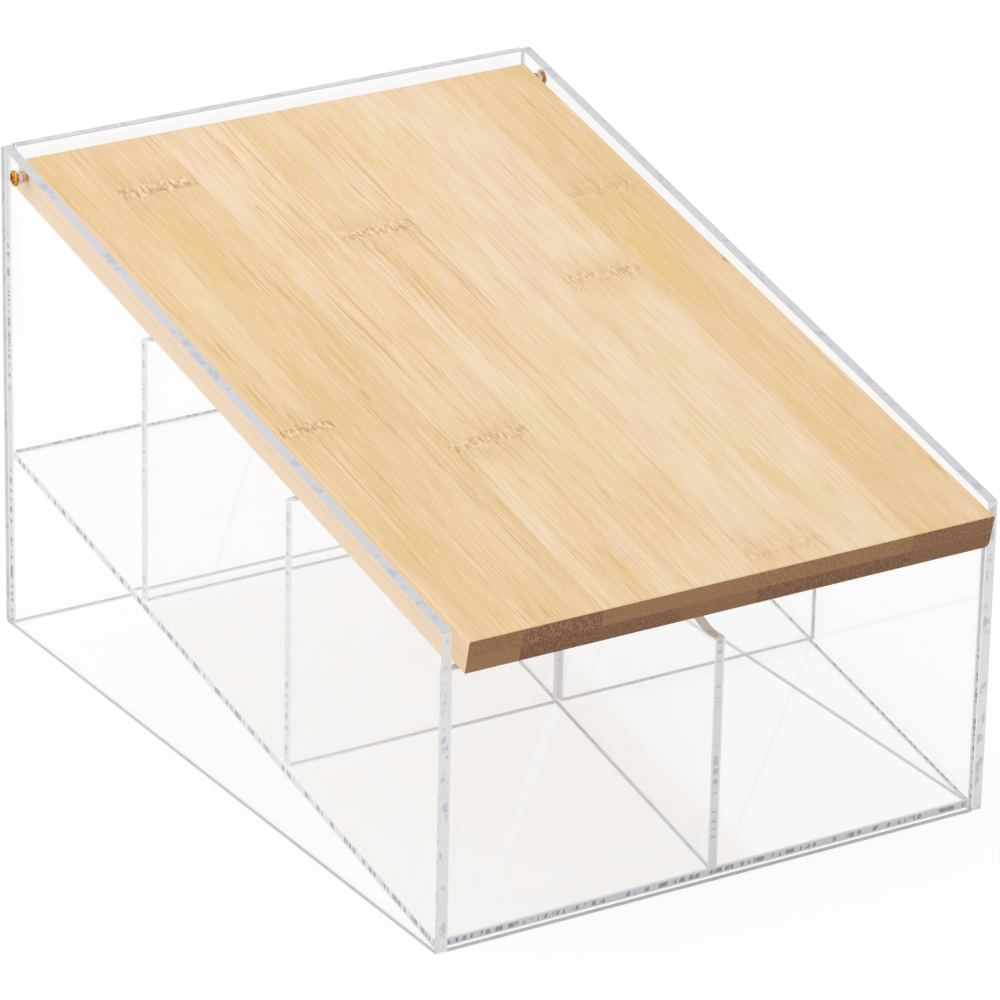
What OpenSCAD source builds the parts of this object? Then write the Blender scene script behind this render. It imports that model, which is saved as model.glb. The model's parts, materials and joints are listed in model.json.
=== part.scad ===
// Countertop organizer box. Clear acrylic sheets, cemented edge to face, make six bays on a
// sloped floor. A bamboo lid board swings on two screws that pass through the side panels.
// Millimetres. X runs across, Y runs from front to rear, Z is up and the base lies at Z = 0.
// The origin is below the middle of the closed box, lid included.

/* [Box] */
// Width over both side panels
box_w = 170; // [140:1:210]
// Depth from the front panel's face to the rear panel's back
box_d = 234; // [205:1:265]
// Height of the rear panel and of the side panels' rear edges
rear_h = 143; // [130:1:160]
// Height of the side panels' front edges
front_h = 90; // [84:1:100]
// Height of the front panel, which the lid comes down on
front_panel_h = 79.3; // [74:0.1:83]
// Thickness of the acrylic sheets
sheet_t = 3; // [2.4:0.1:3.6]
// Radius at the cut sheets' outer corners
sheet_corner_r = 0.8; // [0.2:0.1:2]

/* [Floor] */
// Rise of the floor towards the rear, in degrees
floor_slope = 12.5; // [9:0.1:15]
// Height of the floor's lowest edge above the base
floor_lift = 0.2; // [0.1:0.1:2]

/* [Dividers] */
// Gap under the closed lid along the centre divider's top edge
centre_gap = 1.8; // [1.2:0.1:6]
// Gap under the closed lid at the cross dividers' top edges
cross_gap = 0.4; // [0.2:0.1:4]
// Height of the centre divider's front end
centre_front_h = 69; // [50:0.5:72]
// Length of the level stretch at the centre divider's front end
centre_level = 5.5; // [2:0.5:20]
// Radius that leads from the level stretch into the rise behind it
centre_bend_r = 12; // [2:1:16]
// Slack in the slots where the dividers cross
slot_slack = 0.2; // [0.1:0.05:0.5]

/* [Lid] */
// Thickness of the lid board, which is two equal plies
lid_t = 10; // [9.5:0.5:12]
// Gap from the lid to each side panel
lid_side_gap = 1.8; // [0.5:0.1:3]
// How far the lid stands out ahead of the front panel
lid_overhang = 5.5; // [1:0.1:15]
// Gap from the closed lid down to the front panel
lid_seat_gap = 0.3; // [0.1:0.05:1]
// Least gap from the lid's rear edge to the rear panel and centre divider, closed and in the swing
lid_rear_gap = 0.37; // [0.2:0.01:0.8]
// Easing radius along the lid's edges
lid_ease_r = 0.6; // [0.2:0.1:1.5]
// Larger round along the lid's lower right edge
lid_low_right_r = 2; // [0.5:0.1:3]

/* [Hinge] */
// Distance from the rear panel's back to the hinge axis
hinge_in = 9; // [8.4:0.1:12]
// Distance from the rear panel's top down to the hinge axis
hinge_down = 6.7; // [5.5:0.1:9]
// Depth of the hinge axis under the lid's top face
hinge_depth = 3; // [2.6:0.1:3.4]
// Diameter of the hinge screws' shanks
screw_d = 2.9; // [2.4:0.1:3.2]
// Length of the hinge screws under the head
screw_len = 16; // [12:0.5:25]
// Diameter of the screw heads
screw_head_d = 4.6; // [4.2:0.1:6]
// Height of the screw heads
screw_head_h = 0.9; // [0.8:0.1:2.4]
// Running clearance round the shank in the side panel
hinge_play = 0.08; // [0.03:0.01:0.1]
// Gap between screw head and side panel
head_gap = 0.5; // [0.05:0.05:0.8]

/* [Hidden] */

ACRYLIC = [0.86, 0.93, 0.96, 0.35];
BAMBOO = [0.90, 0.77, 0.56];
BAMBOO_CORE = [0.76, 0.61, 0.42];
BRASS = [0.84, 0.63, 0.24];
$fn = 64;
// Small overshoot, so that cutting shapes run past the faces they cut
over = 1;
corner_steps = 6;

// Faces of the box
front_y = (lid_overhang - box_d) / 2;
rear_y = front_y + box_d;
inner_front_y = front_y + sheet_t;
inner_rear_y = rear_y - sheet_t;
inner_d = inner_rear_y - inner_front_y;
inner_x = box_w / 2 - sheet_t;

// Cross dividers: two, which part the depth into three equal bays
cross_count = 2;
bay_d = (inner_d - cross_count * sheet_t) / (cross_count + 1);
function cross_y(i) = inner_front_y + bay_d + i * (bay_d + sheet_t);

// Floor: a square-cut sheet, whose upper front corner meets the front panel
floor_front_z = floor_lift + sheet_t * cos(floor_slope);
floor_len = (inner_d - sheet_t * sin(floor_slope)) / cos(floor_slope);
function floor_top_z(y) = floor_front_z + (y - inner_front_y) * tan(floor_slope);

// Hinge axis, and the angle at which the lid's underside comes down on the front panel
hinge_y = rear_y - hinge_in;
hinge_z = rear_h - hinge_down;
under_depth = lid_t - hinge_depth;
seat_z = front_panel_h + lid_seat_gap;
seat_run = hinge_y - front_y;
seat_rise = hinge_z - seat_z;
lid_slope = atan2(seat_rise, seat_run) - asin(under_depth / norm([seat_run, seat_rise]));
function lid_under_z(y) = hinge_z - under_depth / cos(lid_slope) + (y - hinge_y) * tan(lid_slope);
function centre_top_z(y) = lid_under_z(y) - centre_gap;
function cross_top_z(i) = lid_under_z(cross_y(i)) - cross_gap;

// Lid board, measured along the board from the hinge axis
lid_half_w = inner_x - lid_side_gap;
lid_nose = (seat_run + lid_overhang - hinge_depth * sin(lid_slope)) / cos(lid_slope);
tail_room = hinge_in - sheet_t - lid_rear_gap;
tail_when_closed = (tail_room - under_depth * sin(lid_slope)) / cos(lid_slope);
tail_in_swing = sqrt(pow(tail_room, 2) - pow(hinge_depth, 2));
tail_reach = under_depth + centre_gap * cos(lid_slope) - lid_rear_gap;
tail_over_centre = sqrt(pow(tail_reach, 2) - pow(under_depth, 2));
lid_tail = min(tail_when_closed, tail_in_swing, tail_over_centre);

// Hinge screws, measured from the middle of the box
head_seat_x = box_w / 2 + head_gap;
screw_tip_x = head_seat_x - screw_len;
thread_pitch = 1.1;
thread_depth = 0.35;
tip_len = screw_d;
pilot_play = 0.02;
pilot_end_gap = 0.5;
recess_w = 0.8;
recess_len = 0.62 * screw_head_d;
recess_depth = 0.75 * screw_head_h;
recess_floor = screw_len + screw_head_h - recess_depth;

function unit(v) = v / norm(v);
function turn_between(a, b) = let (d = b - a) d > 180 ? d - 360 : d < -180 ? d + 360 : d;

// Points of the arc of radius r that rounds corner p between its neighbours a and b
function corner_arc(a, p, b, r) = r <= 0 ? [p] :
    let (u = unit(a - p), w = unit(b - p), half = acos(u * w) / 2)
    let (centre = p + unit(u + w) * r / sin(half))
    let (from = p + u * r / tan(half) - centre, to = p + w * r / tan(half) - centre)
    let (start = atan2(from.y, from.x), turn = turn_between(start, atan2(to.y, to.x)))
    [for (i = [0 : corner_steps]) let (a = start + turn * i / corner_steps) centre + r * [cos(a), sin(a)]];

// Outline through pts, its corners rounded by the radii
function rounded(pts, radii) = let (n = len(pts))
    [for (i = [0 : n - 1]) each corner_arc(pts[(i + n - 1) % n], pts[i], pts[(i + 1) % n], radii[i])];

// Outline with every corner rounded by the same radius
function eased(pts, r) = rounded(pts, [for (p = pts) r]);

// Outline drawn in Y and Z, made w wide along X from x
module sheet_along_x(x, w, outline)
    translate([x, 0, 0])
        rotate([90, 0, 90])
            linear_extrude(w)
                polygon(outline);

// Outline drawn in X and Z, made d deep along Y from y
module sheet_along_y(y, d, outline)
    translate([0, y + d, 0])
        rotate([90, 0, 0])
            linear_extrude(d)
                polygon(outline);

// Upright rectangle in X and Z
function upright(half_w, low, high) = [[-half_w, low], [half_w, low], [half_w, high], [-half_w, high]];

module side_panel(x) {
    outline = [[front_y, 0], [rear_y, 0], [rear_y, rear_h], [front_y, front_h]];
    difference() {
        sheet_along_x(x, sheet_t, eased(outline, sheet_corner_r));
        translate([x - over, hinge_y, hinge_z])
            rotate([0, 90, 0])
                cylinder(h = sheet_t + 2 * over, d = screw_d + 2 * hinge_play);
    }
}

module left_side_panel() color(ACRYLIC) side_panel(-box_w / 2);

module right_side_panel() color(ACRYLIC) side_panel(inner_x);

module rear_panel() color(ACRYLIC)
    sheet_along_y(inner_rear_y, sheet_t, upright(inner_x, 0, rear_h));

module front_panel() color(ACRYLIC)
    sheet_along_y(front_y, sheet_t, upright(inner_x, 0, front_panel_h));

module sloped_floor() color(ACRYLIC)
    translate([0, inner_front_y, floor_front_z])
        rotate([floor_slope, 0, 0])
            translate([-inner_x, 0, -sheet_t])
                cube([2 * inner_x, floor_len, sheet_t]);

// Height at which the slots of the two dividers that cross at cross divider i meet
function slot_meet_z(i) = (floor_top_z(cross_y(i)) + cross_top_z(i)) / 2;

module cross_divider(i) {
    y = cross_y(i);
    slot_w = sheet_t + slot_slack;
    difference() {
        sheet_along_y(y, sheet_t, upright(inner_x, floor_top_z(y + sheet_t), cross_top_z(i)));
        translate([-slot_w / 2, y - over, 0])
            cube([slot_w, sheet_t + 2 * over, slot_meet_z(i) + slot_slack / 2]);
    }
}

module front_cross_divider() color(ACRYLIC) cross_divider(0);

module rear_cross_divider() color(ACRYLIC) cross_divider(1);

module centre_divider() {
    bend_y = inner_front_y + centre_level;
    slot_w = sheet_t + slot_slack;
    outline = [
        [inner_front_y, floor_top_z(inner_front_y)],
        [inner_rear_y, floor_top_z(inner_rear_y)],
        [inner_rear_y, centre_top_z(inner_rear_y)],
        [cross_y(0), centre_top_z(cross_y(0))],
        [bend_y, centre_front_h],
        [inner_front_y, centre_front_h],
    ];
    radii = [0, 0, 0, 0, centre_bend_r, sheet_corner_r];
    color(ACRYLIC)
        difference() {
            sheet_along_x(-sheet_t / 2, sheet_t, rounded(outline, radii));
            for (i = [0 : cross_count - 1])
                translate([-sheet_t / 2 - over, cross_y(i) - slot_slack / 2, slot_meet_z(i) - slot_slack / 2])
                    cube([sheet_t + 2 * over, slot_w, rear_h]);
        }
}

// Places a shape drawn flat, with the hinge axis along X, on the closed lid
module on_lid()
    translate([0, hinge_y, hinge_z])
        rotate([lid_slope, 0, 0])
            children();

// One ply of the lid board between two depths, with radii at its lower left, lower right and upper edges
module ply(low, high, low_left_r, low_right_r, high_r) {
    along = [[-lid_nose, low], [lid_tail, low], [lid_tail, high], [-lid_nose, high]];
    across = upright(lid_half_w, low, high);
    intersection() {
        sheet_along_x(-lid_half_w, 2 * lid_half_w,
            rounded(along, [low_left_r, low_left_r, high_r, high_r]));
        sheet_along_y(-lid_nose, lid_nose + lid_tail,
            rounded(across, [low_left_r, low_right_r, high_r, high_r]));
    }
}

module lid_top_ply() color(BAMBOO) on_lid()
    difference() {
        ply(hinge_depth - lid_t / 2, hinge_depth, 0, 0, lid_ease_r);
        for (side = [-1, 1])
            scale([side, 1, 1])
                translate([screw_tip_x - pilot_end_gap, 0, 0])
                    rotate([0, 90, 0])
                        cylinder(h = screw_len, d = screw_d + 2 * pilot_play);
    }

module lid_bottom_ply() color(BAMBOO_CORE) on_lid()
    ply(-under_depth, hinge_depth - lid_t / 2, lid_ease_r, lid_low_right_r, 0);

// Hinge screw along +X at the origin of the hinge axis, head outermost, with ring threads in the lid
module hinge_screw() {
    r = screw_d / 2;
    core_r = r - thread_depth;
    thread_start = lid_half_w - screw_tip_x;
    threads = floor((thread_start - tip_len) / thread_pitch);
    rings = [for (i = [0 : threads - 1]) each [
        [core_r, tip_len + i * thread_pitch],
        [r, tip_len + (i + 0.5) * thread_pitch],
        [core_r, tip_len + (i + 1) * thread_pitch],
    ]];
    dome = [for (i = [0 : 8]) [
        screw_head_d / 2 * cos(i * 90 / 8),
        screw_len + screw_head_h * (0.3 + 0.7 * sin(i * 90 / 8)),
    ]];
    profile = concat(
        [[0, 0]], rings,
        [[r, tip_len + threads * thread_pitch + thread_depth], [r, screw_len]],
        [[screw_head_d / 2, screw_len]],
        dome
    );
    color(BRASS)
        translate([screw_tip_x, 0, 0])
            rotate([0, 90, 0])
                difference() {
                    rotate_extrude() polygon(profile);
                    for (turn = [0, 90])
                        rotate([0, 0, turn + 45])
                            translate([-recess_len / 2, -recess_w / 2, recess_floor])
                                cube([recess_len, recess_w, recess_depth + over]);
                }
}

module right_hinge_screw() on_lid() hinge_screw();

module left_hinge_screw() on_lid() mirror([1, 0, 0]) hinge_screw();

left_side_panel();
right_side_panel();
rear_panel();
front_panel();
sloped_floor();
front_cross_divider();
rear_cross_divider();
centre_divider();
lid_top_ply();
lid_bottom_ply();
left_hinge_screw();
right_hinge_screw();
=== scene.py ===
"""Looks of a clear organizer box with a laminated bamboo lid board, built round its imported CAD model.

Metres, in the CAD model's frame: X across, Y from the low front to the high rear, Z up, base at Z = 0.
Inside the materials, lengths are millimetres and the scale of a noise is per millimetre.
"""
import json
import math

import bpy
from mathutils import Matrix, Vector

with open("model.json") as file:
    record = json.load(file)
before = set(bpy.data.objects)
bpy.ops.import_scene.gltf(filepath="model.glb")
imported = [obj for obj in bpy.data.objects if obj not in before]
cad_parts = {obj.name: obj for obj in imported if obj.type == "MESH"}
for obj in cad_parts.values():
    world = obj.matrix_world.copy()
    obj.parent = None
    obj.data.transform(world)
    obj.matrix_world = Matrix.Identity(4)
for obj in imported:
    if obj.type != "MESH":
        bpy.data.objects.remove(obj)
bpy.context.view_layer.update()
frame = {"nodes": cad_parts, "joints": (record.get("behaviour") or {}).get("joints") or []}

NODES = frame["nodes"]
MM = 0.001


def broad_normal(obj):
    """The way a flat piece's broad faces point, upwards where they aren't upright."""
    normal = max(obj.data.polygons, key=lambda p: p.area).normal.copy()
    return -normal if normal.z < 0 else normal


# Lid board: its hinge axis, slope, and the level over that axis of the glue line between its plies
HINGE = Vector(frame["joints"][0]["pos_m"])
LID_UP = broad_normal(NODES["lid_top_ply"])
LID_SLOPE = math.atan2(-LID_UP.y, LID_UP.z)
GLUE_LINE = max((v.co - HINGE).dot(LID_UP) for v in NODES["lid_bottom_ply"].data.vertices) / MM

# Bamboo strips: width, left edge of the first, and how far apart a culm's nodes are along each strip
STRIP_W = 23.8
STRIP_START = -88.2
NODE_EVERY = 262.0
# Per strip of each ply, left to right: place of its node from the hinge axis towards the front, how
# plain that node is, how pale the strip is, how strongly it is lined, and how dark its end grain is.
# dots is how plain the cut bundles in the end grain are
TOP_PLY = {
    "nodes": (138.2, 21.4, 158.8, 59.8, 228.0, 99.8, 62.8, 104.0),
    "marks": (1.0, 1.0, 0.7, 0.8, 0.3, 0.6, 0.4, 0.9),
    "tones": (0.25, 0.15, 0.75, 0.65, 0.9, 1.0, 0.08, 0.3),
    "lines": (1.0, 0.8, 0.9, 0.8, 0.35, 0.4, 0.6, 1.0),
    "ends": (0.25, 0.8, 0.0, 0.0, 0.1, 0.05, 0.7, 0.7),
    "dots": 1.0,
}
BOTTOM_PLY = {
    "nodes": (31.0, 176.0, 88.0, 203.0, 120.0, 12.0, 149.0, 60.0),
    "marks": (0.8, 0.6, 1.0, 0.7, 0.9, 0.5, 0.8, 1.0),
    "tones": (0.6, 0.3, 0.1, 0.8, 0.4, 0.2, 0.7, 0.5),
    "lines": (0.7, 1.0, 0.4, 0.9, 0.6, 1.0, 0.5, 0.8),
    "ends": (0.0, 1.0, 0.85, 0.5, 0.95, 1.0, 0.75, 0.75),
    "dots": 0.55,
}


# Node graphs
class Graph:
    """Short calls that add shader nodes to one material and link them."""

    def __init__(self, name):
        self.material = bpy.data.materials.new(name)
        self.material.use_nodes = True
        self.tree = self.material.node_tree
        self.tree.nodes.clear()
        self.output = self.tree.nodes.new("ShaderNodeOutputMaterial")

    def node(self, kind, **settings):
        """A node of that kind. settings are its properties."""
        made = self.tree.nodes.new("ShaderNode" + kind)
        for key, value in settings.items():
            setattr(made, key, value)
        return made

    def feed(self, socket, value):
        """Links value into socket if it is an output, and otherwise sets it."""
        if isinstance(value, bpy.types.NodeSocket):
            self.tree.links.new(value, socket)
        else:
            socket.default_value = value

    def math(self, operation, *values, clamp=False):
        """The result of a sum on numbers."""
        made = self.node("Math", operation=operation, use_clamp=clamp)
        for socket, value in zip(made.inputs, values):
            self.feed(socket, value)
        return made.outputs[0]

    def vector(self, operation, *values):
        """The result of a sum on vectors: a number for DOT_PRODUCT, and otherwise a vector."""
        made = self.node("VectorMath", operation=operation)
        for socket, value in zip(made.inputs, values):
            self.feed(socket, value)
        return made.outputs["Value" if operation == "DOT_PRODUCT" else "Vector"]

    def facing(self, way):
        """The cosine between the surface's normal and the unit vector way, in the object's axes."""
        coords = self.node("TexCoord")
        return self.vector("DOT_PRODUCT", coords.outputs["Normal"], tuple(way))

    def axes(self, vector):
        """X, Y and Z of vector."""
        made = self.node("SeparateXYZ")
        self.feed(made.inputs[0], vector)
        return made.outputs

    def object_mm(self):
        """The place on the object, in millimetres."""
        coords = self.node("TexCoord")
        return self.vector("MULTIPLY", coords.outputs["Object"], (1 / MM,) * 3)

    def bump(self, strength, depth_mm, height):
        """A normal for a surface that stands up to depth_mm proud where height is 1."""
        made = self.node("Bump")
        self.feed(made.inputs["Strength"], strength)
        self.feed(made.inputs["Distance"], depth_mm * MM)
        self.feed(made.inputs["Height"], height)
        return made.outputs[0]

    def step(self, value, low, high, to_low=0.0, to_high=1.0):
        """value from low to high, eased and clamped, as to_low to to_high."""
        made = self.node("MapRange", interpolation_type="SMOOTHSTEP")
        self.feed(made.inputs["Value"], value)
        self.feed(made.inputs["From Min"], low)
        self.feed(made.inputs["From Max"], high)
        self.feed(made.inputs["To Min"], to_low)
        self.feed(made.inputs["To Max"], to_high)
        return made.outputs["Result"]

    def mix(self, factor, a, b):
        """Colour a, going to b as factor goes to 1."""
        made = self.node("Mix", data_type="RGBA")
        for socket, value in zip((made.inputs[0], made.inputs[6], made.inputs[7]), (factor, a, b)):
            self.feed(socket, value)
        return made.outputs[2]

    def noise(self, vector, scale, detail=2.0, roughness=0.5, shift=None):
        """Noise from 0 to 1 at vector times scale, moved by the vector shift."""
        place = self.vector("MULTIPLY", vector, tuple(scale))
        if shift is not None:
            place = self.vector("ADD", place, shift)
        made = self.node("TexNoise")
        self.feed(made.inputs["Vector"], place)
        self.feed(made.inputs["Scale"], 1.0)
        self.feed(made.inputs["Detail"], detail)
        self.feed(made.inputs["Roughness"], roughness)
        return made.outputs["Fac"]

    def principled(self, **inputs):
        """The main surface shader. inputs are its sockets' names in lower case."""
        made = self.node("BsdfPrincipled")
        for name, value in inputs.items():
            self.feed(made.inputs[name.replace("_", " ").title().replace("Ior", "IOR")], value)
        return made.outputs[0]

    def mix_shader(self, factor, a, b):
        """Shader a, going to b as factor goes to 1."""
        made = self.node("MixShader")
        for socket, value in zip(made.inputs, (factor, a, b)):
            self.feed(socket, value)
        return made.outputs[0]

    def finish(self, shader):
        """The finished material, with shader on its surface."""
        self.feed(self.output.inputs["Surface"], shader)
        return self.material


def srgb(r, g, b):
    """A colour given as 0 to 255 sRGB values, as the linear colour Blender wants."""
    shares = [c / 255 for c in (r, g, b)]
    return (*(v / 12.92 if v <= 0.04045 else ((v + 0.055) / 1.055) ** 2.4 for v in shares), 1.0)


# Clear acrylic sheet
ACRYLIC_IOR = 1.49
FACE_WHITE = srgb(254, 254, 254)
SAWN_GREY = srgb(246, 247, 252)
SAWN_WHITE = srgb(255, 255, 255)
CORNER_PAINTED_SHADE = srgb(168, 170, 182)
SMUDGE_GREY = srgb(168, 174, 192)
CEMENT_WHITE = srgb(254, 254, 255)
CEMENT_CORE = srgb(224, 226, 232)
MARK_GREY = srgb(104, 107, 122)
FACE_SHADOW = srgb(254, 254, 255)
EDGE_SHADOW = srgb(226, 228, 234)


def acrylic(obj, met, upward_painted_tone, mark_depth, mark_gaps):
    """Clear sheet with polished faces and sawn edges.

    Edges that face one of the directions met are joined to a neighbour or stand on the table: they are
    white with a grey core and rows of marks. mark_depth says how plain the marks are, and mark_gaps how
    much of those edges has none. Other edges that face up get a painted tone for how light falls on
    them: painted shade on the panels and floor, and painted light on the dividers, which lie in the
    lid's shade.
    """
    way = broad_normal(obj)
    levels = [v.co.dot(way) / MM for v in obj.data.vertices]
    middle = (max(levels) + min(levels)) / 2
    half_t = (max(levels) - min(levels)) / 2
    g = Graph("acrylic_" + obj.name)
    place = g.object_mm()

    # Edge or face, the broken corner between them, and how near the middle of the edge
    face = g.math("ABSOLUTE", g.facing(way))
    edge = g.step(face, 0.97, 0.85)
    corner = g.math("MULTIPLY", edge, g.step(face, 0.3, 0.6))
    upward = g.step(g.facing((0, 0, 1)), 0.3, 0.8)
    joined = 0.0
    for side in met:
        joined = g.math("MAXIMUM", joined, g.step(g.facing(side), 0.3, 0.6))
    off_middle = g.math("SUBTRACT", g.vector("DOT_PRODUCT", place, tuple(way)), middle)
    across = g.math("DIVIDE", g.math("ABSOLUTE", off_middle), half_t)
    inner = g.step(across, 0.9, 0.5)

    # Sawn edges, with saw chatter and smudges
    chatter = g.noise(place, (1.6,) * 3)
    smudge = g.step(g.noise(place, (0.2,) * 3, detail=4.0, roughness=0.65), 0.52, 0.62)
    smudge = g.math("MULTIPLY", inner, smudge)
    sawn = g.mix(g.step(chatter, 0.35, 0.7), SAWN_GREY, SAWN_WHITE)
    # Painted shade: the broken corners between edge and face are painted grey, standing in for the dark
    # line that runs along each edge's border
    sawn = g.mix(corner, sawn, CORNER_PAINTED_SHADE)
    # Upward edges take a painted tone for how light falls on them: painted shade on panels and floor,
    # painted light on the dividers under the lid
    sawn = g.mix(upward, sawn, upward_painted_tone)
    sawn = g.mix(g.math("MULTIPLY", smudge, 0.5), sawn, SMUDGE_GREY)

    # Joined edges, with marks that run through the sheet's thickness, in stretches
    along_edge = g.vector("MULTIPLY", place, tuple(1 - abs(round(c)) for c in way))
    stretch = g.step(g.noise(along_edge, (0.025,) * 3, detail=1.0), mark_gaps, mark_gaps + 0.1)
    mark = g.step(g.noise(along_edge, (0.7,) * 3), 0.5, 0.58)
    mark = g.math("MULTIPLY", g.math("MULTIPLY", mark, stretch), g.step(across, 0.6, 0.35))
    cement = g.mix(g.math("MULTIPLY", inner, 0.5), CEMENT_WHITE, CEMENT_CORE)
    cement = g.mix(g.math("MULTIPLY", mark, mark_depth), cement, MARK_GREY)

    glass = g.principled(
        base_color=g.mix(edge, FACE_WHITE, g.mix(joined, sawn, cement)),
        roughness=g.math("MULTIPLY_ADD", edge, 0.3, 0.004),
        ior=ACRYLIC_IOR,
        transmission_weight=g.math("SUBTRACT", 1.0, edge),
        normal=g.bump(g.math("MULTIPLY", edge, 0.25), 0.1, chatter),
    )

    # Light for shadows and diffuse surfaces goes straight through, a little dimmed
    clear = g.node("BsdfTransparent")
    g.feed(clear.inputs["Color"], g.mix(edge, FACE_SHADOW, EDGE_SHADOW))
    path = g.node("LightPath")
    passing = g.mix_shader(path.outputs["Is Diffuse Ray"], glass, clear.outputs[0])
    return g.finish(g.mix_shader(path.outputs["Is Shadow Ray"], passing, clear.outputs[0]))


# Bamboo
GRAIN_TAN = srgb(234, 200, 147)
GRAIN_PALE = srgb(243, 219, 187)
BLUSH = srgb(240, 208, 182)
STRAW = srgb(236, 212, 162)
AMBER = srgb(238, 194, 118)
BUNDLE_TAN = srgb(231, 192, 122)
FIBRE_DARK = srgb(221, 184, 128)
FIBRE_LIGHT = srgb(250, 231, 200)
LINE_BROWN = srgb(220, 170, 100)
SEAM_BROWN = srgb(196, 156, 108)
CULM_HALO = srgb(229, 192, 132)
CULM_HAIR = srgb(210, 162, 100)
CULM_LIGHT = srgb(248, 231, 206)
CULM_DASH = srgb(196, 142, 86)
SIDE_PAINTED_LIGHT = srgb(255, 222, 179)
END_TAN = srgb(161, 113, 66)
END_BROWN = srgb(118, 70, 24)
DOT_LIGHT = srgb(196, 156, 116)
DOT_DARK = srgb(104, 68, 38)
GLUE_BROWN = srgb(150, 112, 78)


def by_strip(g, strip, values):
    """The value of each strip, from values between 0 and 1, left to right."""
    made = g.node("ValToRGB")
    ramp = made.color_ramp
    ramp.interpolation = "CONSTANT"
    ramp.elements.remove(ramp.elements[1])
    for i, value in enumerate(values):
        stop = ramp.elements.new(i / len(values)) if i else ramp.elements[0]
        stop.color = (value, value, value, 1)
    g.feed(made.inputs[0], g.math("DIVIDE", g.math("ADD", strip, 0.5), len(values)))
    return made.outputs[0]


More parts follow.
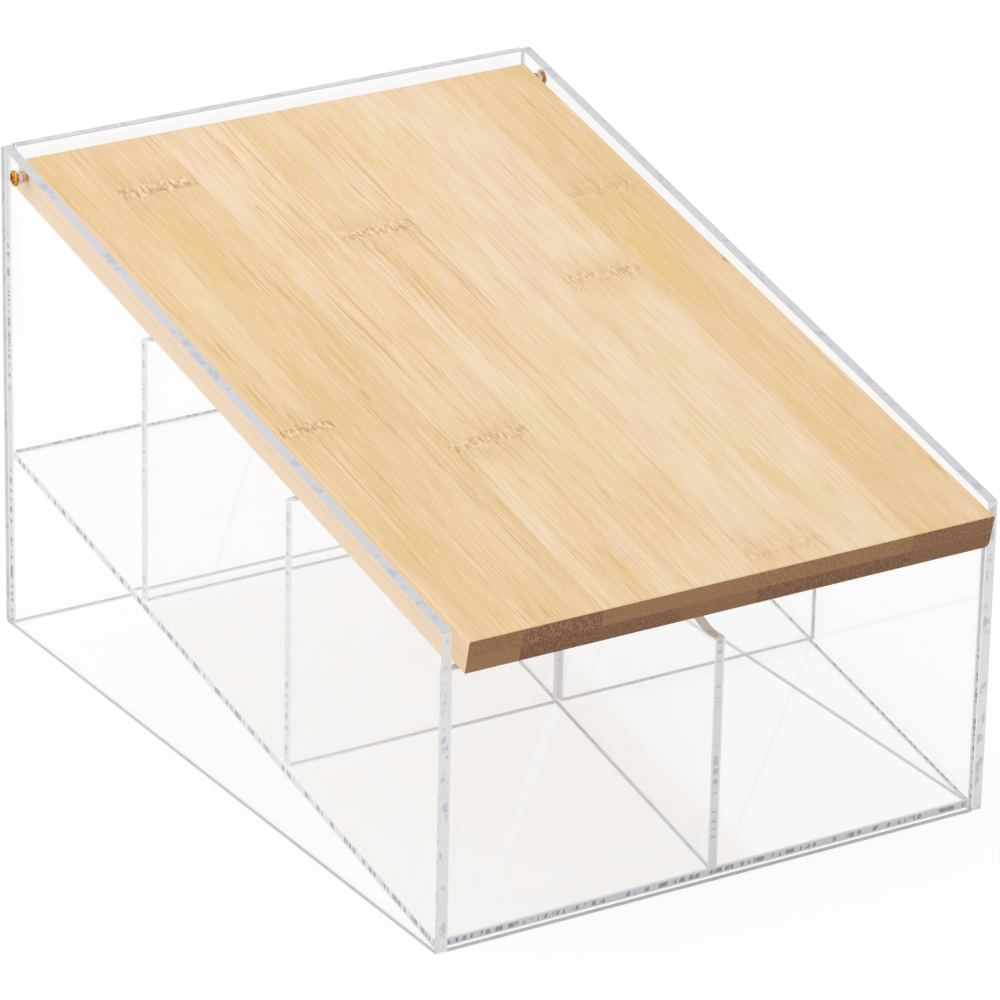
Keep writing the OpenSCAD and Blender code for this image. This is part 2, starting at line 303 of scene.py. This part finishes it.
def bamboo(name, ply):
    """Laminated bamboo of a ply's strips. Grain runs along the board."""
    g = Graph(name)

    # Place from the hinge axis: X across, Y along the board to the rear, Z out of its top face
    coords = g.node("TexCoord")
    on_lid = g.node("Mapping", vector_type="TEXTURE")
    g.feed(on_lid.inputs["Vector"], coords.outputs["Object"])
    g.feed(on_lid.inputs["Location"], tuple(HINGE))
    g.feed(on_lid.inputs["Rotation"], (LID_SLOPE, 0, 0))
    g.feed(on_lid.inputs["Scale"], (MM,) * 3)
    place = on_lid.outputs[0]
    x, y, z = g.axes(place)
    along = LID_UP.cross(Vector((1, 0, 0)))
    end = g.step(g.math("ABSOLUTE", g.facing(along)), 0.55, 0.8)
    flat = g.step(g.math("ABSOLUTE", g.facing(LID_UP)), 0.6, 0.85)

    # Strips. apart moves each one's noises away from the others'
    strip_x = g.math("DIVIDE", g.math("SUBTRACT", x, STRIP_START), STRIP_W)
    strip = g.math("FLOOR", strip_x)
    within = g.math("SUBTRACT", strip_x, strip)
    seam = g.step(g.math("ABSOLUTE", g.math("SUBTRACT", within, 0.5)), 0.485, 0.5)
    apart = g.node("CombineXYZ")
    g.feed(apart.inputs[0], g.math("MULTIPLY", strip, 31.7))
    g.feed(apart.inputs[1], g.math("MULTIPLY", strip, 17.3))
    apart = apart.outputs[0]

    # Distance from the strip's culm node, along the board
    node_at = by_strip(g, strip, [at / NODE_EVERY for at in ply["nodes"]])
    node_y = g.math("MULTIPLY", node_at, -NODE_EVERY)
    wobble = g.math("SUBTRACT", g.noise(place, (0.35, 0, 0), shift=apart), 0.5)
    from_node = g.math("ADD", g.math("SUBTRACT", y, node_y), g.math("MULTIPLY", wobble, 5.0))
    from_node = g.math("WRAP", from_node, NODE_EVERY / 2, -NODE_EVERY / 2)
    off_node = g.math("ABSOLUTE", from_node)
    at_node = g.step(off_node, 3.4, 1.4)
    near_node = g.step(off_node, 15.0, 2.0)

    # Fibres, which bend a little where they pass a node
    bent = g.node("CombineXYZ")
    bend = g.math("SUBTRACT", g.noise(place, (0.22, 0.16, 0.3), shift=apart), 0.5)
    g.feed(bent.inputs[0], g.math("MULTIPLY", g.math("MULTIPLY", bend, near_node), 3.5))
    grain_place = g.vector("ADD", place, bent.outputs[0])
    sweep = g.noise(grain_place, (0.07, 0.011, 0.1), detail=3.0, shift=apart)
    hue = g.noise(place, (0.045, 0.02, 0.1), shift=apart)
    bundles = g.noise(grain_place, (0.5, 0.03, 0.8), roughness=0.6, shift=apart)
    fine = g.noise(grain_place, (2.4, 0.08, 2.8), roughness=0.6, shift=apart)
    lines = g.noise(grain_place, (0.95, 0.01, 1.0), detail=1.0, shift=apart)
    lines = g.step(g.math("ABSOLUTE", g.math("SUBTRACT", lines, 0.5)), 0.035, 0.005)
    crowd = g.noise(place, (0.11, 0.013, 0.1), detail=1.0, shift=apart)
    crowd = g.step(crowd, 0.42, 0.6, 0.1, 0.8)
    lined = g.math("MULTIPLY", by_strip(g, strip, ply["lines"]), crowd)

    swing = g.math("MULTIPLY", g.math("SUBTRACT", sweep, 0.5), 2.6)
    pale = g.math("ADD", by_strip(g, strip, ply["tones"]), swing, clamp=True)
    colour = g.mix(pale, GRAIN_TAN, GRAIN_PALE)
    colour = g.mix(g.step(hue, 0.5, 0.7, 0.0, 0.5), colour, BLUSH)
    colour = g.mix(g.step(hue, 0.5, 0.3, 0.0, 0.5), colour, STRAW)
    colour = g.mix(g.step(sweep, 0.38, 0.24, 0.0, 0.6), colour, AMBER)
    colour = g.mix(g.step(bundles, 0.45, 0.72, 0.0, 0.4), colour, BUNDLE_TAN)
    colour = g.mix(g.step(fine, 0.48, 0.68, 0.0, 0.32), colour, FIBRE_DARK)
    colour = g.mix(g.step(fine, 0.46, 0.34, 0.0, 0.32), colour, FIBRE_LIGHT)
    colour = g.mix(g.math("MULTIPLY", lines, lined), colour, LINE_BROWN)
    colour = g.mix(g.math("MULTIPLY", seam, 0.14), colour, SEAM_BROWN)

    # Culm nodes: a band of short dashes, light between, in a darker halo
    dash = g.noise(place, (1.0, 0.3, 1.0), detail=3.0, roughness=0.7, shift=apart)
    hair = g.noise(grain_place, (1.3, 0.09, 1.0), roughness=0.7, shift=apart)
    hairs = g.math("MULTIPLY", near_node, g.step(hair, 0.5, 0.66))
    marked = g.math("MULTIPLY", at_node, by_strip(g, strip, ply["marks"]))
    dashes = g.math("MULTIPLY", marked, g.step(dash, 0.5, 0.57))
    lights = g.math("MULTIPLY", marked, g.step(dash, 0.47, 0.4))
    colour = g.mix(g.math("MULTIPLY", near_node, 0.3), colour, CULM_HALO)
    colour = g.mix(g.math("MULTIPLY", hairs, 0.45), colour, CULM_HAIR)
    colour = g.mix(g.math("MULTIPLY", lights, 0.6), colour, CULM_LIGHT)
    colour = g.mix(g.math("MULTIPLY", dashes, 0.7), colour, CULM_DASH)

    # Side faces are paler with painted light, for the light and the acrylic's reflection on them, and
    # end grain is brown and dotted with cut bundles
    side = g.math("SUBTRACT", 1.0, g.math("MAXIMUM", end, flat), clamp=True)
    # Painted light: side faces are mixed towards a pale tone
    colour = g.mix(g.math("MULTIPLY", side, 0.9), colour, SIDE_PAINTED_LIGHT)
    dots = g.noise(place, (3.4, 0.05, 1.7), detail=0.0, shift=apart)
    end_tone = by_strip(g, strip, ply["ends"])
    dotted = g.math("MULTIPLY", g.math("MULTIPLY_ADD", end_tone, 0.3, 0.2), ply["dots"])
    end_colour = g.mix(end_tone, END_TAN, END_BROWN)
    end_colour = g.mix(g.math("MULTIPLY", g.step(dots, 0.5, 0.62), dotted), end_colour, DOT_LIGHT)
    end_colour = g.mix(g.math("MULTIPLY", g.step(dots, 0.5, 0.38), dotted), end_colour, DOT_DARK)
    colour = g.mix(end, colour, end_colour)

    # Glue line between the plies
    glue = g.step(g.math("ABSOLUTE", g.math("SUBTRACT", z, GLUE_LINE)), 0.3, 0.05)
    glue = g.math("MULTIPLY", glue, g.math("SUBTRACT", 1.0, flat))
    colour = g.mix(g.math("MULTIPLY", glue, 0.2), colour, GLUE_BROWN)

    height = g.math("ADD", g.math("MULTIPLY", bundles, 0.6), g.math("MULTIPLY", fine, 0.4))
    height = g.math("SUBTRACT", height, g.math("MULTIPLY", dashes, 0.5))
    roughness = g.step(bundles, 0.3, 0.8, 0.42, 0.56)
    normal = g.bump(0.3, 0.08, height)
    return g.finish(g.principled(base_color=colour, roughness=roughness, normal=normal))


# Brass
BRASS_BRIGHT = srgb(222, 168, 66)
BRASS_WORN = srgb(176, 118, 36)
BRASS_PAINTED_REFLECTION = srgb(226, 192, 132)


def brass():
    """Yellow-plated screw metal, a little uneven, with a painted pale reflection on the faces towards
    the box's middle.
    """
    g = Graph("brass")
    place = g.object_mm()
    wear = g.noise(place, (0.9,) * 3, detail=4.0, roughness=0.6)
    colour = g.mix(g.step(wear, 0.4, 0.62), BRASS_BRIGHT, BRASS_WORN)
    # Painted reflection: faces turned towards the box's middle are made pale
    outward = g.math("MULTIPLY", g.facing((1, 0, 0)), g.math("SIGN", g.axes(place)[0]))
    colour = g.mix(g.step(outward, -0.2, -0.7), colour, BRASS_PAINTED_REFLECTION)
    roughness = g.step(wear, 0.3, 0.8, 0.2, 0.36)
    normal = g.bump(0.15, 0.05, wear)
    return g.finish(g.principled(base_color=colour, metallic=1.0, roughness=roughness, normal=normal))


# Dressing the CAD nodes
# Each sheet, with the directions in which its edges meet a neighbour or the table
ACROSS = ((1, 0, 0), (-1, 0, 0))
ALONG = ((0, 1, 0), (0, -1, 0))
DOWN = ((0, 0, -1),)
SHEETS = {
    "left_side_panel": DOWN,
    "right_side_panel": DOWN,
    "rear_panel": ACROSS + DOWN,
    "front_panel": ACROSS + DOWN,
    "sloped_floor": ACROSS + ALONG,
    "front_cross_divider": ACROSS + DOWN,
    "rear_cross_divider": ACROSS + DOWN,
    "centre_divider": ALONG + DOWN,
}
# Per kind of sheet: the painted tone of its upward edges (grey painted shade on panels and floor,
# near-white painted light on the dividers, which lie in the lid's shade), how plain the marks in its
# joined edges are, and how much of those edges has none
LOOKS = {
    "panel": (srgb(211, 211, 215), 0.75, 0.42),
    "floor": (srgb(211, 211, 215), 0.75, 0.3),
    "divider": (srgb(238, 246, 255), 0.4, 0.42),
}
# How far a sheet's faces stay inside the CAD's, how much its edges are broken, and how close two of
# its points are to count as one
JOINT_AIR = 0.02 * MM
EDGE_BREAK = 0.25 * MM
SAME_POINT = 0.001 * MM


def dress(obj, material):
    """Puts material on every slot of obj."""
    for slot in obj.material_slots:
        slot.material = material


def soften_sheet(obj):
    """Breaks a sheet's sharp edges, and parts its faces from its neighbours' by a hair."""
    weld = obj.modifiers.new("weld", "WELD")
    weld.merge_threshold = SAME_POINT
    bevel = obj.modifiers.new("edge_break", "BEVEL")
    bevel.width = EDGE_BREAK
    bevel.segments = 1
    bevel.limit_method = "ANGLE"
    bevel.angle_limit = math.radians(40)
    bevel.use_clamp_overlap = True
    part = obj.modifiers.new("joint_air", "DISPLACE")
    part.strength = -JOINT_AIR
    part.mid_level = 0.0


for sheet, met in SHEETS.items():
    obj = NODES[sheet]
    kind = sheet.split("_")[-1]
    dress(obj, acrylic(obj, met, *LOOKS[kind]))
    soften_sheet(obj)
dress(NODES["lid_top_ply"], bamboo("bamboo_top", TOP_PLY))
dress(NODES["lid_bottom_ply"], bamboo("bamboo_bottom", BOTTOM_PLY))
metal = brass()
dress(NODES["left_hinge_screw"], metal)
dress(NODES["right_hinge_screw"], metal)


# Floor, world, lamps
FLOOR_RADIUS = 4.0
FLOOR_DROP = 0.2 * MM
FLOOR_GREY = srgb(238, 238, 238)
FLOOR_GLOW = 1.06
FLOOR_GLOW_SHARE = 0.8
WHITE = (1, 1, 1, 1)
# Strength of the world where it lights a surface, and where it is seen
WORLD_LIGHT = 0.72
WORLD_SEEN = 1.0
LAMP_AIM = Vector((0, 0, 0.07))


def seen_rays(g):
    """1 for rays from the camera, off gloss and through glass, and 0 for others."""
    path = g.node("LightPath")
    seen = g.math("MAXIMUM", path.outputs["Is Camera Ray"], path.outputs["Is Glossy Ray"])
    return g.math("MAXIMUM", seen, path.outputs["Is Transmission Ray"])


def make_floor():
    """A white disc just under the box, which glows where it is seen."""
    g = Graph("floor_white")
    diffuse = g.node("BsdfDiffuse")
    g.feed(diffuse.inputs["Color"], FLOOR_GREY)
    glow = g.node("Emission")
    g.feed(glow.inputs["Color"], WHITE)
    g.feed(glow.inputs["Strength"], FLOOR_GLOW)
    share = g.math("MULTIPLY", seen_rays(g), FLOOR_GLOW_SHARE)
    material = g.finish(g.mix_shader(share, diffuse.outputs[0], glow.outputs[0]))
    bpy.ops.mesh.primitive_circle_add(
        vertices=96, radius=FLOOR_RADIUS, fill_type="NGON", location=(0, 0, -FLOOR_DROP)
    )
    floor = bpy.context.object
    floor.name = "stage_floor"
    floor.data.materials.append(material)


def make_world():
    """A white studio all round."""
    world = bpy.data.worlds.new("white_studio")
    world.use_nodes = True
    bpy.context.scene.world = world
    tree = world.node_tree
    back = tree.nodes["Background"]
    back.inputs["Color"].default_value = WHITE
    path = tree.nodes.new("ShaderNodeLightPath")
    strength = tree.nodes.new("ShaderNodeMapRange")
    strength.inputs["To Min"].default_value = WORLD_LIGHT
    strength.inputs["To Max"].default_value = WORLD_SEEN
    highest = path.outputs["Is Camera Ray"]
    for name in ("Is Glossy Ray", "Is Transmission Ray"):
        step = tree.nodes.new("ShaderNodeMath")
        step.operation = "MAXIMUM"
        tree.links.new(highest, step.inputs[0])
        tree.links.new(path.outputs[name], step.inputs[1])
        highest = step.outputs[0]
    tree.links.new(highest, strength.inputs["Value"])
    tree.links.new(strength.outputs[0], back.inputs["Strength"])


def softbox(name, place, size, watts):
    """A square lamp at place that faces the object."""
    lamp = bpy.data.lights.new(name, "AREA")
    lamp.size = size
    lamp.energy = watts
    obj = bpy.data.objects.new(name, lamp)
    bpy.context.collection.objects.link(obj)
    obj.location = place
    obj.rotation_euler = (LAMP_AIM - Vector(place)).to_track_quat("-Z", "Y").to_euler()


make_floor()
make_world()
softbox("lamp_over", (-0.15, 0.25, 1.3), 1.1, 4.5)
softbox("lamp_left", (-1.3, 0.1, 0.7), 0.9, 2.5)


# Camera, solved from the photograph: where it stands, where it looks and how it is rolled
CAMERA_PLACE = (-0.85304, -1.35996, 0.76349)
CAMERA_HEADING = math.radians(32.1948)
CAMERA_DROP = math.radians(23.5223)
CAMERA_ROLL = math.radians(1.2181)
FOCAL_PX = 6480.9
FRAME_PX = 1000
SENSOR_MM = 36.0
RAY_BOUNCES = 32


def make_camera():
    """The photograph's camera."""
    data = bpy.data.cameras.new("camera")
    data.sensor_fit = "HORIZONTAL"
    data.sensor_width = SENSOR_MM
    data.lens = FOCAL_PX / FRAME_PX * SENSOR_MM
    data.clip_start = 0.05
    data.clip_end = 50
    camera = bpy.data.objects.new("camera", data)
    bpy.context.collection.objects.link(camera)
    level_ahead = Vector((math.sin(CAMERA_HEADING), math.cos(CAMERA_HEADING), 0))
    ahead = math.cos(CAMERA_DROP) * level_ahead - math.sin(CAMERA_DROP) * Vector((0, 0, 1))
    right = Vector((math.cos(CAMERA_HEADING), -math.sin(CAMERA_HEADING), 0))
    up = right.cross(ahead)
    x_axis = math.cos(CAMERA_ROLL) * right + math.sin(CAMERA_ROLL) * up
    y_axis = math.cos(CAMERA_ROLL) * up - math.sin(CAMERA_ROLL) * right
    turn = Matrix((x_axis, y_axis, -ahead)).transposed().to_4x4()
    camera.matrix_world = Matrix.Translation(CAMERA_PLACE) @ turn
    bpy.context.scene.camera = camera


make_camera()
scene = bpy.context.scene
scene.view_settings.view_transform = "Standard"
scene.cycles.max_bounces = RAY_BOUNCES
scene.cycles.transmission_bounces = RAY_BOUNCES
scene.cycles.transparent_max_bounces = RAY_BOUNCES
